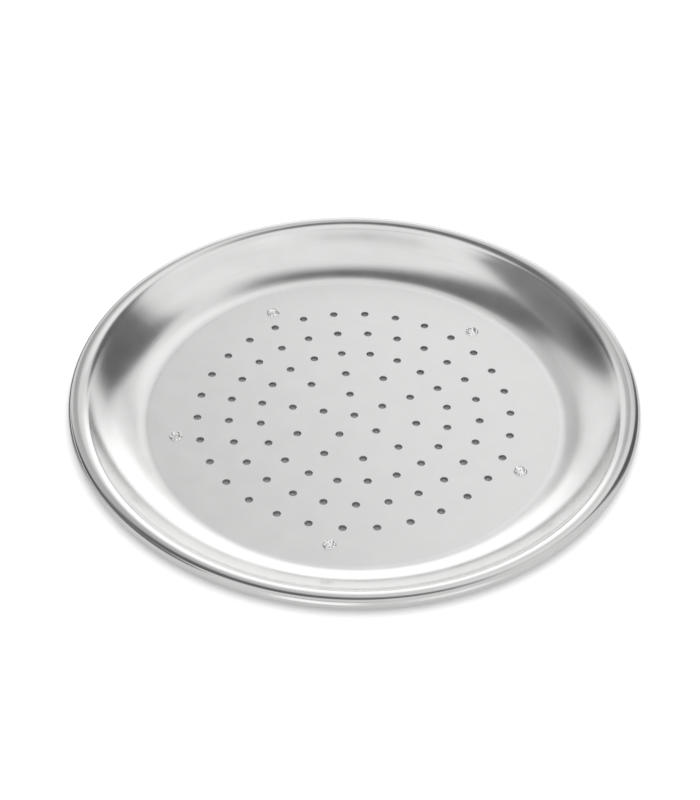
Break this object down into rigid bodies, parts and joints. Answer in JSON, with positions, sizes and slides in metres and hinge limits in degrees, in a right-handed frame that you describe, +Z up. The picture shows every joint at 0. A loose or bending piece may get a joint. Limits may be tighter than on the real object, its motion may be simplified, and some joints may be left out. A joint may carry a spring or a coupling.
{
  "type": "pizza pan",
  "caption": "Round shallow steel baking pan with a perforated flat floor, a rounded flared wall, a rolled rim and low riveted feet.",
  "frame": {"origin": "on the pan's axis, in the plane that the feet stand on", "axes": "+Z up along the pan's axis; +X and +Y in the plane of the feet, with +Y away from the viewer of the picture"},
  "size_m": [0.36, 0.36, 0.0253],
  "materials": {
    "pan_steel": "satin brushed floor; brighter, softly polished wall and rolled rim",
    "foot_steel": "turned steel, satin",
    "rivet_steel": "bright steel, lightly worked where the end was set"
  },
  "bodies": {
    "root": {"pan_shell": "pan_steel", "foot_1": "foot_steel", "foot_rivet_1": "rivet_steel", "foot_2": "foot_steel", "foot_rivet_2": "rivet_steel", "foot_3": "foot_steel", "foot_rivet_3": "rivet_steel", "foot_4": "foot_steel", "foot_rivet_4": "rivet_steel", "foot_5": "foot_steel", "foot_rivet_5": "rivet_steel"}
  },
  "joints": []
}
